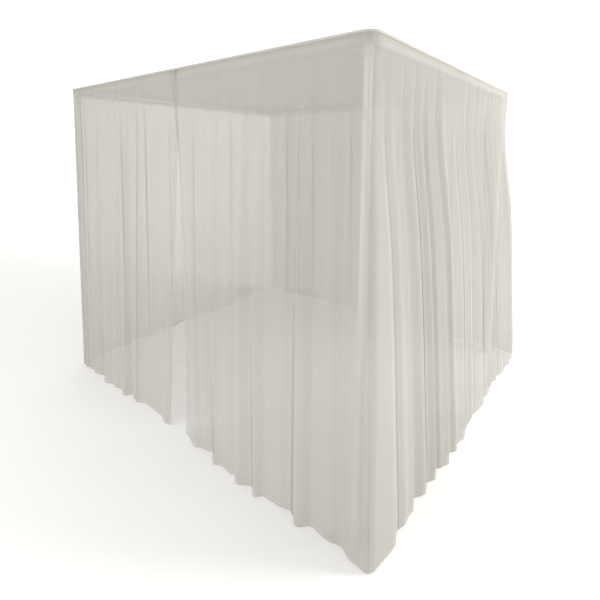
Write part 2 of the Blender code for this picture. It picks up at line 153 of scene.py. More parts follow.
# The net's plan is a box whose walls spread towards the hem. Its four corners are counted
# counterclockwise from above: head near, foot near, foot far, head far.
canopy = {
    "hemClear": 0.004,         # hems hang this far above the floor
    "seamDrop": 0.0012,        # walls start this far under the roof's upper face
    "solidSheet": 0.0016,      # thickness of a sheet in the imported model
    "turn": 0.056,             # plan radius of the corners at the top, and of each at the hem
    "hemTurn": [0.056, 0.030, 0.056, 0.056],
    "hemSpread": [(0.000, -0.002), (0.078, -0.070), (0.132, 0.035), (-0.018, 0.045)],
    # share of that spread by the share of the way down
    "spread": [(0.0, 0.0), (0.15, 0.0), (0.42, 0.48), (0.80, 0.86), (1.0, 1.0)],
}
roofLow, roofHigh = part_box("net_roof")
edge = canopy["solidSheet"] / 2.0
left, right = roofLow[0] + edge, roofHigh[0] - edge
near, far = roofLow[1] + edge, roofHigh[1] - edge
roofTop = roofHigh[2]
wallTop = roofTop - canopy["seamDrop"]
topCorners = np.array([(left, near), (right, near), (right, far), (left, far)])


def cornerPlan(place, down):
    # a corner's plan at these shares of the way down: its top place plus the spread grown so far
    grown = smoothRead(canopy["spread"], down)
    return topCorners[place % 4] + grown[:, None] * np.array(canopy["hemSpread"][place % 4])


def wallLine(place, down):
    # a wall's first corner, its length, direction and outward normal
    first = cornerPlan(place, down)
    run = cornerPlan(place + 1, down) - first
    length = np.hypot(run[:, 0], run[:, 1])
    along = run / length[:, None]
    return first, length, along, np.stack([along[:, 1], -along[:, 0]], axis=-1)


def wallSurface(place, distance, out, down):
    # Points at a distance along a wall and out of it, for rows at these shares of the way down.
    # Nearer to either end than the arc's tangent, the distance turns into an angle round the
    # corner's centre, and the way out adds to the radius.
    first, length, along, normal = wallLine(place, down)
    plan = first[:, None] + along[:, None] * distance[..., None] + normal[:, None] * out[..., None]
    for corner, side in ((place, -1.0), (place + 1, 1.0)):
        before = wallLine(corner - 1, down)[3]
        after = wallLine(corner, down)[3]
        half = np.arccos(np.clip((before * after).sum(1), -1.0, 1.0)) / 2.0
        radius = canopy["turn"] + (canopy["hemTurn"][corner % 4] - canopy["turn"]) * down
        tangent = radius * np.tan(half)
        point = first if side < 0.0 else first + along * length[:, None]
        centre = point - side * along * tangent[:, None] - normal * radius[:, None]
        away = distance if side < 0.0 else length[:, None] - distance
        angle = half[:, None] * (1.0 - away / tangent[:, None])
        facing = (
            normal[:, None] * np.cos(angle)[..., None]
            + side * along[:, None] * np.sin(angle)[..., None]
        )
        arc = centre[:, None] + facing * (radius[:, None] + out)[..., None]
        plan = np.where((away < tangent[:, None])[..., None], arc, plan)
    return plan


def sheerNet(name, look):
    # Knitted polyester net: fine matt threads with gaps between, so it veils what is behind it.
    # How much light it stops grows with the layers of cloth that the mesh's attribute counts.
    material, tree = startMaterial(name)
    maths = "ShaderNodeMath"
    layers = addNode(tree, "ShaderNodeAttribute", {"attribute_name": "clothLayers"})
    place = addNode(tree, "ShaderNodeUVMap", {"uv_map": "cloth"})
    # uneven threads: faint streaks three centimetres wide, drawn much coarser than the yarn
    drawn = addNode(
        tree, "ShaderNodeMapping", links={"Vector": place.outputs["UV"]},
        values={"Scale": (1.0 / look["streakWide"], 1.0 / look["streakLong"], 1.0)},
    )
    streaks = addNode(
        tree, "ShaderNodeTexNoise", {"noise_dimensions": "2D"}, {"Vector": drawn.outputs[0]},
        {"Scale": 1.0, "Detail": 0.0},
    )
    uneven = addNode(
        tree, maths, {"operation": "MULTIPLY_ADD"}, {0: streaks.outputs[0]},
        {1: 2.0 * look["streakDepth"], 2: 1.0 - look["streakDepth"]},
    )
    # lock stitches along the top of the hem, four millimetres long and drawn twice as coarse
    spot = addNode(tree, "ShaderNodeSeparateXYZ", links={0: place.outputs["UV"]})
    rise = addNode(
        tree, maths, {"operation": "SUBTRACT"}, {0: spot.outputs["Y"]}, {1: look["stitchLine"]}
    )
    beside = addNode(tree, maths, {"operation": "ABSOLUTE"}, {0: rise.outputs[0]})
    onLine = addNode(
        tree, maths, {"operation": "LESS_THAN"}, {0: beside.outputs[0]}, {1: look["stitchWide"]}
    )
    beat = addNode(
        tree, maths, {"operation": "MULTIPLY"}, {0: spot.outputs["X"]}, {1: 1.0 / look["stitchPitch"]}
    )
    share = addNode(tree, maths, {"operation": "FRACT"}, {0: beat.outputs[0]})
    dash = addNode(
        tree, maths, {"operation": "LESS_THAN"}, {0: share.outputs[0]}, {1: look["stitchShare"]}
    )
    stitch = addNode(tree, maths, {"operation": "MULTIPLY"}, {0: onLine.outputs[0], 1: dash.outputs[0]})
    sewn = addNode(
        tree, maths, {"operation": "MULTIPLY_ADD"}, {0: stitch.outputs[0], 2: layers.outputs["Fac"]},
        {1: look["stitchLayers"]},
    )
    thick = addNode(tree, maths, {"operation": "MULTIPLY"}, {0: uneven.outputs[0], 1: sewn.outputs[0]})
    # the share of light that one layer passes, to the power of the layers
    passed = addNode(tree, maths, {"operation": "POWER"}, {1: thick.outputs[0]}, {0: look["passed"]})
    # diamond mesh of the knit as fine relief, drawn at twice its real pitch so that it shows
    mesh = addNode(
        tree, "ShaderNodeMapping", links={"Vector": place.outputs["UV"]},
        values={"Rotation": (0.0, 0.0, math.pi / 4.0), "Scale": (1.0 / look["mesh"],) * 3},
    )
    cells = addNode(
        tree, "ShaderNodeTexVoronoi", {"voronoi_dimensions": "2D", "distance": "CHEBYCHEV"},
        {"Vector": mesh.outputs[0]}, {"Scale": 1.0, "Randomness": look["meshUneven"]},
    )
    relief = addNode(
        tree, "ShaderNodeBump", links={"Height": cells.outputs["Distance"]},
        values={"Strength": look["relief"], "Distance": look["mesh"] * look["reliefShare"]},
    )
    threads = addNode(
        tree, "ShaderNodeBsdfPrincipled", links={"Normal": relief.outputs[0]},
        values={
            "Base Color": linearColour(look["colour"]), "Roughness": look["roughness"],
            "IOR": look["ior"], "Specular IOR Level": look["specular"],
            "Sheen Weight": look["sheen"], "Sheen Roughness": 0.5,
        },
    )
    behind = addNode(
        tree, "ShaderNodeBsdfTranslucent", links={"Normal": relief.outputs[0]},
        values={"Color": linearColour(look["through"])},
    )
    cloth = addNode(
        tree, "ShaderNodeMixShader", links={1: threads.outputs[0], 2: behind.outputs[0]},
        values={0: look["translucent"]},
    )
    gaps = addNode(tree, "ShaderNodeBsdfTransparent")
    surface = addNode(
        tree, "ShaderNodeMixShader",
        links={0: passed.outputs[0], 1: cloth.outputs[0], 2: gaps.outputs[0]},
    )
    addNode(tree, "ShaderNodeOutputMaterial", links={"Surface": surface.outputs[0]})
    return material


def wovenTape(name, look):
    # Twill tape folded over the seam: matt, with slanting ribs, and a little uneven in tone
    material, tree = startMaterial(name)
    place = addNode(tree, "ShaderNodeUVMap", {"uv_map": "cloth"})
    slant = addNode(
        tree, "ShaderNodeMapping", links={"Vector": place.outputs["UV"]},
        values={"Rotation": (0.0, 0.0, look["ribSlant"]), "Scale": (1.0 / look["rib"],) * 3},
    )
    ribs = addNode(
        tree, "ShaderNodeTexWave", links={"Vector": slant.outputs[0]},
        values={"Scale": 0.32, "Distortion": 0.4},
    )
    drift = addNode(
        tree, "ShaderNodeTexNoise", {"noise_dimensions": "2D"}, {"Vector": place.outputs["UV"]},
        {"Scale": 1.0 / look["drift"], "Detail": 3.0},
    )
    tone = addNode(
        tree, "ShaderNodeMix", {"data_type": "RGBA"}, {"Factor": drift.outputs[0]},
        {"A": linearColour(look["colour"]), "B": linearColour(look["shade"])},
    )
    relief = addNode(
        tree, "ShaderNodeBump", links={"Height": ribs.outputs["Fac"]},
        values={"Strength": look["relief"], "Distance": look["ribHigh"]},
    )
    cloth = addNode(
        tree, "ShaderNodeBsdfPrincipled",
        links={"Base Color": tone.outputs["Result"], "Normal": relief.outputs[0]},
        values={
            "Roughness": look["roughness"], "IOR": look["ior"],
            "Specular IOR Level": look["specular"], "Sheen Weight": look["sheen"],
        },
    )
    addNode(tree, "ShaderNodeOutputMaterial", links={"Surface": cloth.outputs[0]})
    return material


def paleCoat(name, look):
    # A satin skin over steel or plastic: a slow drift in tone and a faint orange peel
    material, tree = startMaterial(name)
    place = addNode(tree, "ShaderNodeTexCoord")
    peel = addNode(
        tree, "ShaderNodeTexNoise", links={"Vector": place.outputs["Object"]},
        values={"Scale": 1.0 / look["peel"], "Detail": 2.0},
    )
    drift = addNode(
        tree, "ShaderNodeTexNoise", links={"Vector": place.outputs["Object"]},
        values={"Scale": 1.0 / look["drift"], "Detail": 2.0},
    )
    tone = addNode(
        tree, "ShaderNodeMix", {"data_type": "RGBA"}, {"Factor": drift.outputs[0]},
        {"A": linearColour(look["colour"]), "B": linearColour(look["shade"])},
    )
    relief = addNode(
        tree, "ShaderNodeBump", links={"Height": peel.outputs[0]},
        values={"Strength": look["relief"], "Distance": look["peel"] * 0.25},
    )
    gloss = addNode(
        tree, "ShaderNodeMapRange", links={0: drift.outputs[0]},
        values={3: look["roughness"] - look["uneven"], 4: look["roughness"] + look["uneven"]},
    )
    coat = addNode(
        tree, "ShaderNodeBsdfPrincipled",
        links={
            "Base Color": tone.outputs["Result"], "Normal": relief.outputs[0],
            "Roughness": gloss.outputs[0],
        },
        values={"IOR": look["ior"]},
    )
    addNode(tree, "ShaderNodeOutputMaterial", links={"Surface": coat.outputs[0]})
    return material


netLook = {
    "colour": "b0aea8",       # the threads in the light that falls on them
    "through": "bcbab4",      # the threads in the light that comes from behind
    "passed": 0.51,           # share of light that one flat layer lets straight through
    "translucent": 0.20,      # share of what the threads scatter that comes through them
    "roughness": 0.85, "ior": 1.57, "specular": 0.25, "sheen": 0.15,
    "mesh": 0.0022, "meshUneven": 0.08,
    "relief": 0.03, "reliefShare": 0.3,
    "streakWide": 0.034, "streakLong": 1.4, "streakDepth": 0.04,
    "stitchLine": 0.021,      # height of the stitches above the floor
    "stitchWide": 0.0011, "stitchPitch": 0.008,
    "stitchShare": 0.65,      # share of the pitch that a stitch fills
    "stitchLayers": 0.3,      # cloth that it adds
}
# the roof net has a closer knit than the walls; its darker threads, which pass less light from above,
# are painted shade for its underside
shadedRoofLook = dict(netLook, colour="aeaca6", through="aeaca6", passed=0.17, translucent=0.14)
tapeLook = {
    "colour": "b7b4ab", "shade": "afaca3", "drift": 0.03,
    "rib": 0.0016, "ribSlant": math.radians(35.0), "ribHigh": 0.0003, "relief": 0.4,
    "roughness": 0.9, "ior": 1.55, "specular": 0.3, "sheen": 0.1,
}
steelLook = {
    "colour": "f3f1eb", "shade": "eeebe4", "drift": 0.25,      # two tones, and how far apart they lie
    "peel": 0.0012, "relief": 0.12, "roughness": 0.36, "uneven": 0.05, "ior": 1.5,
}
plasticLook = {
    "colour": "f1efe9", "shade": "ebe8e1", "drift": 0.10,
    "peel": 0.0008, "relief": 0.12, "roughness": 0.28, "uneven": 0.05, "ior": 1.49,
}
netMaterial = sheerNet("knitted polyester net", netLook)
roofMaterial = sheerNet("closely knitted polyester roof net with painted shade", shadedRoofLook)
tapeMaterial = wovenTape("folded polyester twill tape", tapeLook)
steelMaterial = paleCoat("powder coated steel tube", steelLook)
plasticMaterial = paleCoat("white moulded polypropylene", plasticLook)
print("materials ready")

# how every wall of the net hangs
hanging = {
    "rows": 64,
    "spacing": 0.0075,        # between columns
    "pleatColumns": 15,       # columns across a pleat
    "pleatReach": 0.019,      # half width of a pleat where the cloth turns back
    "pleatDepth": 0.0026,     # how far it steps outward
    "pleatFade": 1.6,         # how far beside it the step dies out, in its half widths
    "pleatGrown": 0.25,       # share of the way down where a pleat has its full width
    "foldsFree": 0.20,        # share of the way down where the folds are clear of the seam
    "foldGrowth": 1.15,       # power by which their height grows below it
    "gathers": 0.0008,        # height of the small gathers under the seam
    "gatherPitch": 0.052,
    "gatherReach": 0.07,      # share of the way down where the gathers have died out
    # height, wavelength, phase and drift of the long ripples
    "ripples": [(0.0006, 0.061, 0.6, 0.10), (0.0012, 0.127, 4.4, -0.07)],
    "sideHem": 0.012,         # width of a turned side edge
    "sideLayers": 0.7,        # and the cloth that it adds
    "hem": 0.016,             # width of the turned hem
    "hemLayers": 0.12,
    "heading": 0.030,         # width of the turned heading
    "headingFade": 0.02,
    "headingLayers": 1.3,
    "slantMost": 1.4,         # most that slanting cloth counts for
}

# A sheet's lines are the crests and troughs of its folds, in metres: the place along the wall at the
# seam and at the hem, how far it stands out at the hem, the share of that under the seam, how far it
# bows sideways at mid height, and how full a pleat it carries at the seam and at the hem. From 0.5
# on, the cloth doubles back on itself, and a minus sign lays the pleat the other way. What is zero at
# the end of a line is left out. The fullness rows give the layers of cloth at a place along the wall,
# at the seam and at the hem. A free edge has its place and the side on which the sheet lies. The step
# is how far a sheet starts behind its neighbour at a lap, and over what distance that fades. The
# slant is what slanting cloth adds.
nearHead = {
    "name": "netNearHead", "node": "net_near_head", "wall": 0,
    "toCorner": "first", "step": (0.0, 0.0), "slant": 0.5,
    "fullness": [
        (0.0, 1.5, 1.3), (0.22, 1.2, 1.2), (0.80, 1.1, 1.0), (0.83, 0.92, 0.92), (1.178, 0.92, 0.92),
    ],
    "freeEdges": [(1.178, -1.0)],
    "lines": [
        (0.000, 0.000, 0.000, 0.0), (0.035, 0.030, 0.004, 0.8),
        (0.066, 0.058, -0.004, 0.9, 0.0, 0.9, 0.6), (0.100, 0.086, 0.006, 0.8),
        (0.132, 0.112, -0.010, 0.8, 0.0, -1.0, -0.7), (0.162, 0.136, 0.002, 0.7, 0.002),
        (0.192, 0.158, -0.006, 0.8, 0.002, 0.8, 0.5), (0.235, 0.184, -0.008, 0.5, 0.004),
        (0.305, 0.220, 0.006, 0.5, 0.008), (0.360, 0.262, -0.006, 0.4, 0.004, 0.5, 0.3),
        (0.420, 0.301, -0.020, 0.3, 0.0, 0.0, 0.3), (0.500, 0.392, 0.018, 0.3),
        (0.545, 0.458, -0.009, 0.5, 0.0, 0.0, 0.3), (0.573, 0.502, 0.001, 0.5, 0.006),
        (0.610, 0.545, -0.016, 0.6, 0.0, 0.3, 0.4), (0.650, 0.615, 0.013, 0.4, 0.006),
        (0.715, 0.665, -0.032, 0.5, 0.0, 0.0, 0.3), (0.765, 0.705, -0.012, 0.5),
        (0.814, 0.752, -0.006, 0.6, 0.002, -0.9, -0.8), (0.860, 0.801, -0.032, 0.4, 0.0, 0.0, 0.3),
        (0.930, 0.877, -0.034, 0.3), (1.030, 0.964, -0.031, 0.3, 0.006),
        (1.130, 1.058, -0.005, 0.2, 0.016), (1.178, 1.090, -0.018, 0.3, 0.022),
    ],
}
nearFoot = {
    "name": "netNearFoot", "node": "net_near_foot", "wall": 0,
    "toCorner": "last", "step": (-0.010, 0.10), "slant": 0.2,
    "fullness": [(1.12, 0.92, 0.92), (1.90, 0.92, 0.92), (2.28, 0.92, 1.3)],
    "freeEdges": [(1.12, 1.0)],
    "lines": [
        (1.120, 1.225, -0.019, 0.2, 0.042), (1.200, 1.328, 0.004, 0.2, 0.030),
        (1.290, 1.389, -0.019, 0.3, 0.010), (1.370, 1.443, -0.038, 0.2, 0.0, 0.0, 0.3),
        (1.446, 1.502, 0.019, 0.3), (1.495, 1.543, -0.002, 0.3, 0.0, 0.0, 0.3),
        (1.560, 1.600, 0.006, 0.6), (1.600, 1.630, -0.002, 0.4),
        (1.640, 1.675, 0.030, 0.3), (1.695, 1.749, -0.009, 0.6, 0.0, 0.3, 0.6),
        (1.740, 1.787, 0.025, 0.4), (1.800, 1.829, -0.006, 0.4, 0.0, 0.0, 0.3),
        (1.870, 1.895, -0.010, 0.3), (1.950, 1.972, -0.024, 0.6, 0.0, 0.4, 0.8),
        (1.995, 2.021, 0.018, 0.4), (2.060, 2.083, -0.025, 0.3, 0.0, 0.0, 0.3),
        (2.115, 2.160, -0.017, 0.4), (2.165, 2.208, -0.031, 0.4, 0.0, 0.0, -0.3),
        (2.215, 2.275, -0.004, 0.3), (2.280, 2.280, 0.000, 0.0),
    ],
}
footLines = [
    (0.000, 0.000, 0.000, 0.0), (0.062, 0.110, 0.013, -0.3),
    (0.110, 0.193, -0.010, 0.7, 0.0, 0.31, 0.7), (0.150, 0.235, 0.002, 0.6),
    (0.200, 0.290, -0.004, 0.6, 0.0, 0.29), (0.235, 0.325, 0.000, 0.5),
    (0.280, 0.378, -0.028, 0.6, 0.0, 0.42, 0.9), (0.345, 0.462, 0.003, 0.6),
    (0.405, 0.525, -0.018, 0.9, 0.0, 0.47, 1.0), (0.450, 0.575, 0.003, 0.6),
    (0.500, 0.631, -0.020, 0.9, 0.0, -0.42, -1.0), (0.545, 0.672, 0.002, 0.6),
    (0.600, 0.721, 0.018, 0.5), (0.668, 0.801, -0.012, 1.2, 0.0, 0.57, 1.2),
    (0.715, 0.846, 0.014, 0.6), (0.790, 0.905, 0.004, 0.6, 0.0, 0.29, 0.2),
    (0.880, 0.986, 0.016, 0.4), (0.960, 1.060, -0.004, 0.6, 0.0, 0.26, 0.6),
    (1.043, 1.110, -0.005, 0.5), (1.130, 1.200, -0.008, 0.5),
    (1.180, 1.255, -0.010, 1.3, 0.0, 0.6, 0.7), (1.225, 1.325, 0.000, 1.3),
    (1.270, 1.394, 0.005, 1.3, 0.0, -0.6, -0.3), (1.355, 1.480, -0.012, 1.3, 0.0, 0.9, 0.8),
    (1.415, 1.545, -0.002, 1.3), (1.490, 1.612, -0.023, 1.3, 0.0, 0.7, 0.8),
    (1.550, 1.650, -0.012, 1.3), (1.612, 1.690, -0.026, 1.3, 0.0, -0.8, -0.6),
    (1.655, 1.760, -0.006, 1.3), (1.700, 1.825, -0.018, 1.3, 0.0, 0.7, 0.7),
    (1.745, 1.880, -0.004, 1.3), (1.790, 1.930, 0.004, 1.3, 0.0, 0.5, 0.2),
    (1.880, 2.000, -0.012, 1.3, 0.0, 0.8, 0.7), (1.975, 2.080, 0.005, 1.3, 0.0, -0.6, -0.2),
    (2.080, 2.165, -0.010, 1.3, 0.0, 0.7, 0.6), (2.140, 2.195, -0.003, 0.4),
    (2.220, 2.220, 0.000, 0.0),
]
lapRows = (18, 19)            # rows of footLines between which the two foot curtains lap
footNear = {
    "name": "netFootNear", "node": "net_foot_near", "wall": 1,
    "toCorner": "first", "step": (0.0, 0.0), "slant": 1.3,
    "fullness": [(0.0, 1.05, 3.2), (0.40, 1.15, 2.3), (1.13, 1.2, 1.2)],
    "freeEdges": [(1.13, -1.0)],
    "lines": footLines[:lapRows[1] + 1],
}
footFar = {
    "name": "netFootFar", "node": "net_foot_far", "wall": 1,
    "toCorner": "last", "step": (-0.004, 0.12), "slant": 1.3,
    "fullness": [(1.04, 1.2, 1.0), (1.40, 1.3, 0.92), (2.22, 1.5, 0.92)],
    "freeEdges": [(1.043, 1.0)],
    "lines": footLines[lapRows[0]:],
}
farWall = {
    "name": "netFar", "node": "net_far", "wall": 2,
    "toCorner": "both", "step": (0.0, 0.0), "slant": 0.6,
    "fullness": [(0.0, 2.2, 2.2), (2.28, 2.0, 2.0)],
    "freeEdges": [],
    "lines": [
        (0.000, 0.000, 0.000, 0.0), (0.080, 0.040, 0.006, 0.4),
        (0.160, 0.080, -0.014, 0.5, 0.0, 0.7, 0.6), (0.270, 0.200, 0.016, 0.4),
        (0.390, 0.330, -0.018, 0.5, 0.010, 0.9, 0.7), (0.480, 0.440, 0.018, 0.3),
        (0.590, 0.560, -0.014, 0.6, 0.0, 0.7, 0.6), (0.710, 0.690, 0.014, 0.4, -0.010),
        (0.840, 0.820, -0.018, 0.5, 0.0, 0.9, 0.7), (0.960, 0.940, 0.020, 0.4),
        (1.060, 1.055, -0.014, 0.6, 0.0, 0.7, 0.6), (1.170, 1.170, 0.014, 0.3, 0.008),
        (1.290, 1.290, -0.016, 0.5, 0.0, 0.9, 0.7), (1.390, 1.400, 0.018, 0.4),
        (1.500, 1.505, -0.014, 0.5, 0.0, 0.5, 0.4), (1.610, 1.620, 0.015, 0.3),
        (1.730, 1.740, -0.018, 0.6, -0.008, 0.9, 0.7), (1.815, 1.830, 0.018, 0.4),
        (1.900, 1.915, -0.014, 0.6, 0.0, 0.9, 0.7), (1.975, 1.990, 0.010, 0.4),
        (2.050, 2.070, -0.020, 0.7, 0.0, 1.1, 0.8), (2.160, 2.190, 0.006, 0.4),
        (2.280, 2.280, 0.000, 0.0),
    ],
}
headWall = {
    "name": "netHead", "node": "net_head", "wall": 3,
    "toCorner": "both", "step": (0.0, 0.0), "slant": 0.6,
    "fullness": [(0.0, 1.3, 1.3), (2.22, 1.3, 1.3)],
    "freeEdges": [],
    "lines": [
        (0.000, 0.000, 0.000, 0.0), (0.080, 0.070, 0.004, 0.4),
        (0.160, 0.140, -0.012, 0.6, 0.0, 0.7, 0.6), (0.280, 0.265, 0.013, 0.4),
        (0.400, 0.390, -0.014, 0.5, 0.008, 0.7, 0.6), (0.520, 0.510, 0.010, 0.4),
        (0.640, 0.635, -0.016, 0.6, 0.0, 0.9, 0.7), (0.770, 0.770, 0.014, 0.3),
        (0.900, 0.900, -0.012, 0.5, -0.006, 0.5, 0.4), (1.010, 1.015, 0.010, 0.4),
        (1.120, 1.125, -0.014, 0.6, 0.0, 0.9, 0.7), (1.250, 1.255, 0.012, 0.4),
        (1.380, 1.385, -0.012, 0.5, 0.0, 0.7, 0.6), (1.500, 1.510, 0.012, 0.3, 0.006),
        (1.620, 1.630, -0.014, 0.6, 0.0, 0.9, 0.7), (1.730, 1.740, 0.012, 0.4),
        (1.840, 1.850, -0.014, 0.6, 0.0, 0.9, 0.7), (1.940, 1.950, 0.008, 0.4),
        (2.040, 2.050, -0.010, 0.5, 0.0, 0.5, 0.4), (2.130, 2.140, 0.000, 0.4),
        (2.220, 2.220, 0.000, 0.0),
    ],
}


def rowShares():
    # shares of the way down: close rows under the seam and at the hem, even between
    height = wallTop - canopy["hemClear"]
    top = np.array([0.0, 0.004, 0.009, 0.016, 0.028, 0.045, hanging["gatherReach"]])
    hem = 1.0 - np.array([hanging["hem"] * 1.6, hanging["hem"], hanging["hem"] * 0.5, 0.0]) / height
    middle = np.linspace(0.10, 1.0 - 0.06 / height, hanging["rows"] - len(top) - len(hem))
    return np.concatenate([top, middle, hem])


def stationsOf(top, tucked, freeEdges):
    # columns by their place at the seam: even, closer where a pleat turns back and along a side hem
    gap = hanging["spacing"]
    even = np.linspace(top[0], top[-1], int(round((top[-1] - top[0]) / gap)) + 1)
    reach = hanging["pleatReach"]
    close = np.linspace(-1.0, 1.0, hanging["pleatColumns"]) * reach
    added = [top[[0, -1]]]
    for place in top[tucked]:
        even = even[np.abs(even - place) > reach + gap * 0.4]
        added.append(place + close)
    side = hanging["sideHem"]
    for freeEdge, inward in freeEdges:
        added.append(freeEdge + inward * np.array([0.0, side * 0.5, side, side + 0.002]))
    stations = np.unique(np.clip(np.concatenate([even] + added), top[0], top[-1]))
    tooClose = 1e-4
    return stations[np.append(True, np.diff(stations) > tooClose)]


def foldGrid(piece):
    # Distance along the wall and out of it, for every row and column, and the layers of cloth there.
    # Each fold line moves straight from its place at the seam to its place at the hem, bows by a
    # parabola, and grows in height by a power of the way down. Between two lines the surface follows
    # a cosine. A pleat moves the cloth back against its run by a windowed sine, so that it doubles
    # over, and steps it outward by half a sine that dies out beside it.
    down = rowShares()
    lines = [line + (0.0,) * (7 - len(line)) for line in piece["lines"]]
    top, hem, out, upper, bow, tuckTop, tuckHem = np.array(lines).T
    lean = down[:, None]
    first, length, along, _ = wallLine(piece["wall"], down)
    shift = ((cornerPlan(piece["wall"], np.zeros(1)) - first) * along).sum(1)[:, None]
    where = top + (hem - top) * lean + bow * 4.0 * lean * (1.0 - lean) + shift
    if piece["toCorner"] in ("first", "both"):
        where[:, 0] = 0.0
    if piece["toCorner"] in ("last", "both"):
        where[:, -1] = length
    free = smoothStep(lean / hanging["foldsFree"])
    height = out * free * (upper + (1.0 - upper) * lean ** hanging["foldGrowth"])

    tucked = np.nonzero(np.abs(tuckTop) + np.abs(tuckHem) > 0.05)[0]
    flat = stationsOf(top, tucked, piece["freeEdges"])
    cell = np.clip(np.searchsorted(top, flat, side="right") - 1, 0, len(top) - 2)
    t = (flat - top[cell]) / (top[cell + 1] - top[cell])
    ease = (1.0 - np.cos(np.pi * t)) / 2.0
    distance = where[:, cell] + (where[:, cell + 1] - where[:, cell]) * t
    raised = height[:, cell] + (height[:, cell + 1] - height[:, cell]) * ease

    # pleats start at half their width, lie flatter where they leave the seam, and waver a little
    reach = hanging["pleatReach"]
    grown = 0.5 + 0.5 * smoothStep(lean / hanging["pleatGrown"])
    loose = 0.3 + 0.7 * smoothStep(lean / 0.03)
    for line in tucked:
        across = (flat - top[line]) / reach
        turn = np.clip(across, -1.0, 1.0) * np.pi
        back = np.sin(turn) * (1.0 + np.cos(turn)) / 2.0
        wander = 1.0 + 0.06 * np.sin(lean * (4.0 + 2.0 * np.sin(line * 1.7)) + line * 2.3)
        full = (tuckTop[line] + (tuckHem[line] - tuckTop[line]) * lean) * wander * grown
        beside = np.maximum(np.abs(across) - 1.0, 0.0)
        step = np.sin(turn / 2.0) * np.exp(-beside / hanging["pleatFade"])
        distance -= np.abs(full) * reach * back
        raised += full * loose * hanging["pleatDepth"] * step

    # small gathers under the seam, uneven in pitch, and long shallow ripples below, uneven in height
    gathered = hanging["gathers"] * free * (1.0 - smoothStep(lean / hanging["gatherReach"]))
    beat = flat / hanging["gatherPitch"] + 0.35 * np.sin(flat * 23.0)
    raised += gathered * np.sin(2.0 * np.pi * beat)
    for high, wave, phase, drift in hanging["ripples"]:
        swell = 0.6 + 0.4 * np.sin(flat * 5.1 + phase * 2.0 + lean * 3.0)
        raised += high * free * swell * np.sin(2.0 * np.pi * (flat / wave + drift * lean) + phase)
    depth, fade = piece["step"]
    if depth:
        # at a lap the inner sheet lies behind the outer one
        raised += depth * (1.0 - smoothStep((flat - flat[0]) / fade))

    # layers of cloth: the fullness that it hangs with, and more where a side edge is turned in
    place, atSeam, atHem = np.array(piece["fullness"]).T
    layers = np.interp(flat, place, atSeam) * (1.0 - lean) + np.interp(flat, place, atHem) * lean
    for freeEdge, _ in piece["freeEdges"]:
        layers += hanging["sideLayers"] * (np.abs(flat - freeEdge) <= hanging["sideHem"] + 1e-6)
    return down, distance, raised, layers


def slantLayers(points, distance, weight):
    # Cloth that slants away from the wall's plane lies denser to the eye: 1 plus the weight times
    # what its folded length has over its straight length.
    run = np.gradient(points[..., :2], axis=1)
    folded = np.hypot(run[..., 0], run[..., 1])
    straight = np.abs(np.gradient(distance, axis=1))
    longer = np.clip(folded / np.maximum(straight, 1e-6), 1.0, hanging["slantMost"])
    return 1.0 + weight * (longer - 1.0)


def hungSheet(piece):
    # one wall of the net: the grid of its folds laid round the net's plan, from the seam to the hem
    down, distance, raised, layers = foldGrid(piece)
    plan = wallSurface(piece["wall"], distance, raised, down)
    height = wallTop + (canopy["hemClear"] - wallTop) * down
    level = np.broadcast_to(height[:, None, None], plan.shape[:2] + (1,))
    points = np.concatenate([plan, level], axis=-1)
    rows, columns = points.shape[:2]
    made = meshPiece(piece["name"], points.reshape(-1, 3), gridFaces(rows, columns), netMaterial)

    layers = slantLayers(points, distance, piece["slant"]) * layers
    layers[-3:] += hanging["hemLayers"]      # the hem is turned up: its rows are the last three
    # the heading is turned in under the seam and hides the rail
    drop = (height[0] - height)[:, None]
    below = smoothStep((drop - hanging["heading"]) / hanging["headingFade"])
    layers = layers + hanging["headingLayers"] * (1.0 - below)
    writeLayers(made, layers)

    # UV in metres: across by the folded cloth at half height, and up by the height above the floor
    middle = points[rows // 2]
    across = np.append(0.0, np.cumsum(np.linalg.norm(np.diff(middle, axis=0), axis=1)))
    shape = (rows, columns)
    uv = np.stack([np.broadcast_to(across, shape), np.broadcast_to(height[:, None], shape)], -1)
    writeUV(made, uv.reshape(-1, 2))
    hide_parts(piece["node"])
    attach(made, "root")


def seamStations(turnSteps, runSteps):
    # distances along each of the four walls at the seam: close through both corners, even between
    turn, stations = canopy["turn"], []
    for place in range(4):
        length = wallLine(place, np.zeros(1))[1][0]
        stations.append(np.concatenate([
            np.linspace(0.0, turn, turnSteps)[:-1], np.linspace(turn, length - turn, runSteps),
            np.linspace(length - turn, length, turnSteps)[1:-1],
        ]))
    return stations


def seamLoop(stations, out):
    # the closed plan through those distances, this far out of the walls
    return np.concatenate([
        wallSurface(place, along[None, :], np.full((1, len(along)), out), np.zeros(1))[0]
        for place, along in enumerate(stations)
    ])


roofShape = {
    "clear": 0.0004,          # its surface lies this far under its node's upper face
    "rings": 34,
    "level": 0.08,            # share of the way in where it leaves the rails
    "sag": 0.012,
    "slack": 0.0012,          # height of the loose ripples in the middle
    "slackFrom": 0.25,        # share of the way in, past the rails, over which they grow
}


